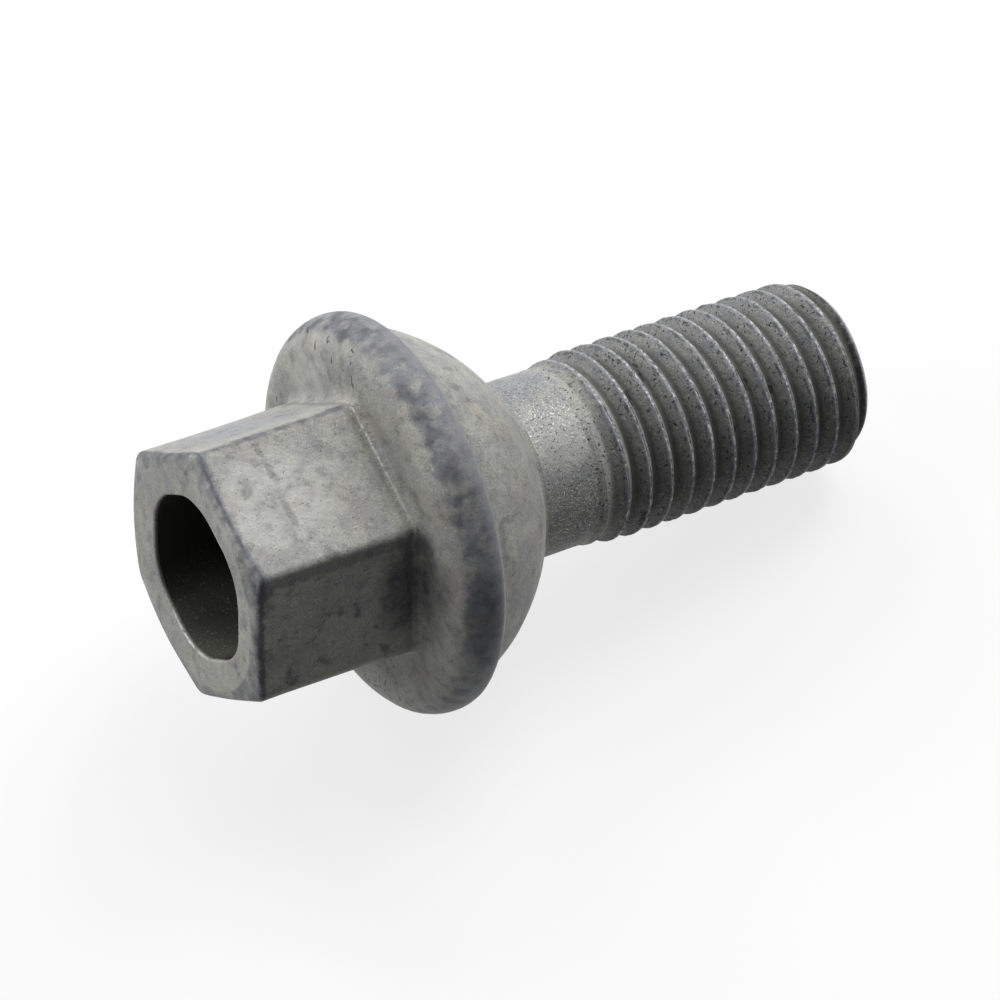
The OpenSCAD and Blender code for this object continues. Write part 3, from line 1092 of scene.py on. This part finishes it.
def thread_coat():
    coat = Finish("thread_coat")
    offset, along = coat.past_crest(coat.place)
    ragged_offset, ragged_along = coat.past_crest(coat.ragged)
    wavy_offset = mix_numbers(coat.tree, 0.25, offset, ragged_offset)
    started = ramp(coat.tree, along, RUN_OUT_START + 0.3, THREAD_START - 1)
    full = coat.times(started, ramp(coat.tree, along, TIP - 0.25, TIP - 0.1, 1, 0))
    plain = calculate(coat.tree, "SUBTRACT", 1.0, full)
    root = calculate(coat.tree, "SUBTRACT", 1.0, coat.band(offset, *PAINTED_ROOT_SHADE))
    worn = coat.times(coat.band(ragged_offset, *WORN_FLANK), full)
    grainy = calculate(coat.tree, "MAXIMUM", worn, plain)
    coat.mottle(COAT, Grain=0.09, Lumps=0.05, Clouds=0.04, Lump_size=0.35)
    coat.stains(BLUE_TONE_AND_SHADE, 0.5, Size=1.3, Share=0.4, Softness=0.12)
    # Painted shade darkens the thread's roots, and painted light takes it back part way on their lit part
    coat.tint(coat.times(root, full), DEEP_OLIVE, 0.8)
    coat.tint(coat.times(root, coat.patch(*PAINTED_LIGHT_ON_ROOTS)), COAT, 0.4)
    coat.tint(worn, BURNISHED, 0.48, height=-0.4)
    coat.stains(
        PALE_GRAIN, 0.65, metallic=0.3, roughness=0.4, within=grainy,
        Size=0.1, Share=0.15, Softness=0.07, Detail=1.0,
    )
    coat.stains(
        BLUE_BLACK, 0.9, height=-2, within=grainy,
        Size=0.2, Share=0.1, Softness=0.05, Detail=1.0, Shift=60.0,
    )
    coat.tint(coat.times(coat.band(wavy_offset, *CREST_BLUE_BAND), full), BLUE_TONE_AND_SHADE, 0.6)
    # The pale crest lines are partly bare metal and partly painted glints
    for number, (middle, half, colour, strength, size, share) in enumerate(CREST_LINES):
        line = coat.times(coat.band(wavy_offset, middle, 0.3 * half, half), full)
        shine = 0.4 if colour == PAINTED_GLINT else 0.0
        coat.stains(
            colour, strength, metallic=shine, within=line,
            Size=size, Share=share, Softness=0.09, Shift=10.0 * number,
        )
    coat.tint(coat.band(ragged_along, *DARK_END), DARK_OLIVE, 0.6)
    broken = coat.effect(stains, Size=0.5, Share=0.75, Softness=0.15, Shift=70.0).outputs["Mask"]
    # The pale ring at the tip's edge is a painted glint
    for middle, half, colour, strength in TIP_RINGS:
        ring = coat.band(along, middle, 0.3 * half, half)
        coat.tint(coat.times(ring, broken), colour, strength)
    coat.marks(THREAD_GOUGES, 0.25, BLUE_BLACK, 0.9)
    return coat.finish(bump=0.05)


def painted_hollow_shade():
    coat = Finish("painted_hollow_shade", roughness=0.7)
    # Painted shade all over the hollow, with painted light and bright grains on the part of its wall that
    # light reaches
    coat.mottle(HOLLOW_SHADE, Grain=0.12, Lumps=0.08, Clouds=0.05, Lump_size=0.4)
    lit_wall = coat.patch(*PAINTED_LIGHT_ON_WALL)
    coat.tint(lit_wall, DARK_OLIVE, 0.8)
    coat.stains(COAT, 0.8, metallic=0.4, within=lit_wall, Size=0.12, Share=0.08, Softness=0.04, Detail=1.0)
    return coat.finish(bump=0.03)


bolt = build_bolt([painted_hollow_shade(), head_coat(), shank_coat(), thread_coat()])
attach(bolt, "root")
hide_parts("wheel_bolt")


# The floor's own colour, what it glows with, and the world's light
FLOOR_COLOUR = 0.22
FLOOR_GLOW = 0.78
WORLD_LIGHT = 0.02

# Half the floor's width, and the lamps' width and distance, in metres
FLOOR_HALF = 1.5
LAMP_SIZE = 0.3
LAMP_DISTANCE = 0.6
# The lamps: each one's name, azimuth, elevation and watts; azimuth 0 is on the side of -Y
LAMPS = (
    ("high_right", 120, 63, 1.45),
    ("right", 120, 38, 1.07),
    ("low_right", 90, 14, 0.65),
    ("behind", 180, 38, 1.5),
    ("behind_left", 240, 38, 0.67),
    ("low_behind_left", 240, 14, 0.82),
    ("low_left", 270, 14, 0.34),
)


def seen_white(tree, shade, strength):
    """A white glow that only the camera, reflections and clear materials see, over what the shade gives."""
    rays = add_node(tree, "ShaderNodeLightPath").outputs
    seen = calculate(tree, "MAXIMUM", rays["Is Camera Ray"], rays["Is Glossy Ray"])
    seen = calculate(tree, "MAXIMUM", seen, rays["Is Transmission Ray"])
    return calculate(tree, "MULTIPLY_ADD", seen, strength, shade)


def add_floor():
    mesh = bpy.data.meshes.new("floor")
    sides = (-FLOOR_HALF, FLOOR_HALF)
    mesh.from_pydata([(x, y, 0) for y in sides for x in sides], [], [(0, 1, 3, 2)])
    floor = add_object("floor", mesh)
    material = bpy.data.materials.new("floor")
    material.use_nodes = True
    shader = material.node_tree.nodes["Principled BSDF"]
    shader.inputs["Base Color"].default_value = (FLOOR_COLOUR, FLOOR_COLOUR, FLOOR_COLOUR, 1)
    shader.inputs["Roughness"].default_value = 1
    shader.inputs["Specular IOR Level"].default_value = 0
    shader.inputs["Emission Color"].default_value = (1, 1, 1, 1)
    glow = seen_white(material.node_tree, 0.0, FLOOR_GLOW)
    material.node_tree.links.new(glow, shader.inputs["Emission Strength"])
    mesh.materials.append(material)


def softbox(name, azimuth, elevation, power):
    """A square lamp that shines on the object from a direction round it."""
    back = Vector((sin(azimuth) * cos(elevation), -cos(azimuth) * cos(elevation), sin(elevation)))
    data = bpy.data.lights.new(name, "AREA")
    data.shape = "SQUARE"
    data.size = LAMP_SIZE
    data.energy = power
    lamp = add_object(name, data)
    lamp.location = back * LAMP_DISTANCE
    lamp.rotation_mode = "QUATERNION"
    lamp.rotation_quaternion = back.to_track_quat("Z", "Y")


def add_world():
    world = bpy.data.worlds.new("studio")
    bpy.context.scene.world = world
    world.use_nodes = True
    background = world.node_tree.nodes["Background"]
    background.inputs["Color"].default_value = (1, 1, 1, 1)
    strength = seen_white(world.node_tree, WORLD_LIGHT, 1 - WORLD_LIGHT)
    world.node_tree.links.new(strength, background.inputs["Strength"])


add_floor()
add_world()
for lamp in LAMPS:
    softbox(*lamp)

bpy.context.scene.view_settings.view_transform = "Standard"
